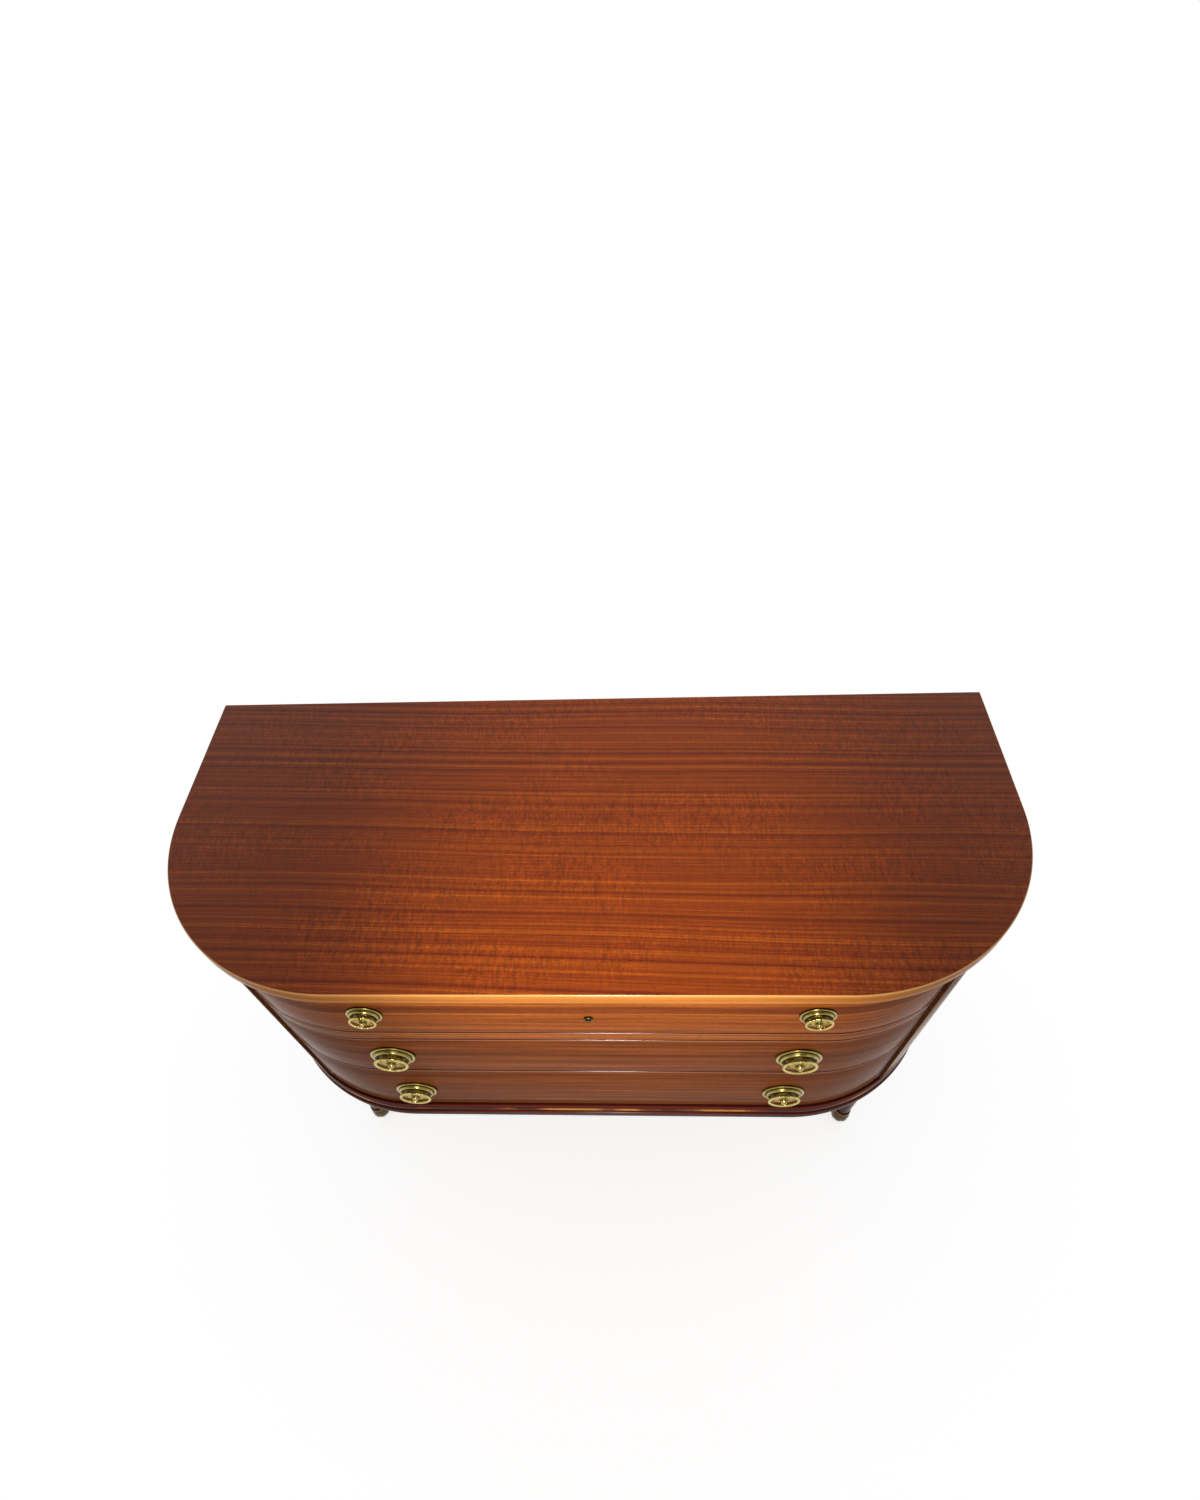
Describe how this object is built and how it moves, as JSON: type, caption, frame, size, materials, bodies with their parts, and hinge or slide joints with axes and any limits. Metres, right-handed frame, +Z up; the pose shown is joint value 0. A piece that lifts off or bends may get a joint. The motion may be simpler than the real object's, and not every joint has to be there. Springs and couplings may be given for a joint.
{
  "type": "demilune chest of drawers",
  "caption": "Chest of drawers on a D-shaped plan with bowed corner fronts, round ring pulls, a moulded base and tall slender legs in brass shoes.",
  "frame": {"origin": "on the floor under the middle of the whole box, ring pulls included", "axes": "+Z up, the drawers face -Y, +X to the right of someone who faces the front"},
  "size_m": [1.1, 0.471, 0.77],
  "materials": {
    "mahogany_veneer": "ribbon-striped reddish veneer, clear satin lacquer",
    "light_lipping": "pale orange solid edge, clear satin lacquer",
    "mahogany_fronts": "reddish brown veneer, glossy lacquer",
    "dark_mahogany": "dark red stained wood, glossy lacquer",
    "oak_carcass": "plain sanded oak, unfinished",
    "plywood": "plain plywood, unfinished",
    "brass": "aged polished brass",
    "lock_steel": "plain mill finish"
  },
  "bodies": {
    "root": {"top_panel": "mahogany_veneer", "top_edge_lipping": "light_lipping", "drawer_rail": "mahogany_fronts", "left_side_panel": "dark_mahogany", "right_side_panel": "dark_mahogany", "left_stile": "dark_mahogany", "right_stile": "dark_mahogany", "base_moulding": "dark_mahogany", "front_left_leg": "dark_mahogany", "front_right_leg": "dark_mahogany", "rear_left_leg": "dark_mahogany", "rear_right_leg": "dark_mahogany", "left_rear_post": "oak_carcass", "right_rear_post": "oak_carcass", "bottom_board": "oak_carcass", "back_top_rail": "oak_carcass", "back_middle_rail": "oak_carcass", "back_lower_rail": "oak_carcass", "back_base_rail": "oak_carcass", "runner_1_left": "oak_carcass", "runner_1_right": "oak_carcass", "runner_2_left": "oak_carcass", "runner_2_right": "oak_carcass", "back_panel": "plywood", "dust_board": "plywood", "front_left_sabot": "brass", "front_right_sabot": "brass", "rear_left_sabot": "brass", "rear_right_sabot": "brass"},
    "drawer_1": {"drawer_1_front": "mahogany_fronts", "drawer_1_left_side": "oak_carcass", "drawer_1_right_side": "oak_carcass", "drawer_1_back": "oak_carcass", "drawer_1_bottom": "plywood", "drawer_1_left_backplate": "brass", "drawer_1_right_backplate": "brass", "keyhole_escutcheon": "brass", "lock_case": "lock_steel"},
    "drawer_2": {"drawer_2_front": "mahogany_fronts", "drawer_2_left_side": "oak_carcass", "drawer_2_right_side": "oak_carcass", "drawer_2_back": "oak_carcass", "drawer_2_bottom": "plywood", "drawer_2_left_backplate": "brass", "drawer_2_right_backplate": "brass"},
    "drawer_3": {"drawer_3_front": "mahogany_fronts", "drawer_3_left_side": "oak_carcass", "drawer_3_right_side": "oak_carcass", "drawer_3_back": "oak_carcass", "drawer_3_bottom": "plywood", "drawer_3_left_backplate": "brass", "drawer_3_right_backplate": "brass"},
    "lock_bolt": {"lock_bolt": "lock_steel"},
    "drawer_1_left_ring": {"drawer_1_left_ring": "brass"},
    "drawer_1_right_ring": {"drawer_1_right_ring": "brass"},
    "drawer_2_left_ring": {"drawer_2_left_ring": "brass"},
    "drawer_2_right_ring": {"drawer_2_right_ring": "brass"},
    "drawer_3_left_ring": {"drawer_3_left_ring": "brass"},
    "drawer_3_right_ring": {"drawer_3_right_ring": "brass"}
  },
  "joints": [
    {"name": "drawer_1_slide", "type": "slide", "parent": "root", "child": "drawer_1", "axis": [0, -1, 0], "range_m": [0, 0.3]},
    {"name": "drawer_2_slide", "type": "slide", "parent": "root", "child": "drawer_2", "axis": [0, -1, 0], "range_m": [0, 0.3]},
    {"name": "drawer_3_slide", "type": "slide", "parent": "root", "child": "drawer_3", "axis": [0, -1, 0], "range_m": [0, 0.3]},
    {"name": "drawer_1_left_ring_lift", "type": "hinge", "parent": "drawer_1", "child": "drawer_1_left_ring", "pos_m": [-0.2725, -0.22755, 0.70403], "axis": [-1, 0, 0], "range_deg": [0, 100]},
    {"name": "drawer_1_right_ring_lift", "type": "hinge", "parent": "drawer_1", "child": "drawer_1_right_ring", "pos_m": [0.2725, -0.22755, 0.70403], "axis": [-1, 0, 0], "range_deg": [0, 100]},
    {"name": "drawer_2_left_ring_lift", "type": "hinge", "parent": "drawer_2", "child": "drawer_2_left_ring", "pos_m": [-0.2725, -0.22965, 0.57121], "axis": [-1, 0, 0], "range_deg": [0, 100]},
    {"name": "drawer_2_right_ring_lift", "type": "hinge", "parent": "drawer_2", "child": "drawer_2_right_ring", "pos_m": [0.2725, -0.22965, 0.57121], "axis": [-1, 0, 0], "range_deg": [0, 100]},
    {"name": "drawer_3_left_ring_lift", "type": "hinge", "parent": "drawer_3", "child": "drawer_3_left_ring", "pos_m": [-0.2725, -0.22965, 0.42916], "axis": [-1, 0, 0], "range_deg": [0, 100]},
    {"name": "drawer_3_right_ring_lift", "type": "hinge", "parent": "drawer_3", "child": "drawer_3_right_ring", "pos_m": [0.2725, -0.22965, 0.42916], "axis": [-1, 0, 0], "range_deg": [0, 100]},
    {"name": "lock_bolt_throw", "type": "slide", "parent": "drawer_1", "child": "lock_bolt", "axis": [0, 0, 1], "range_m": [0, 0.008]}
  ]
}
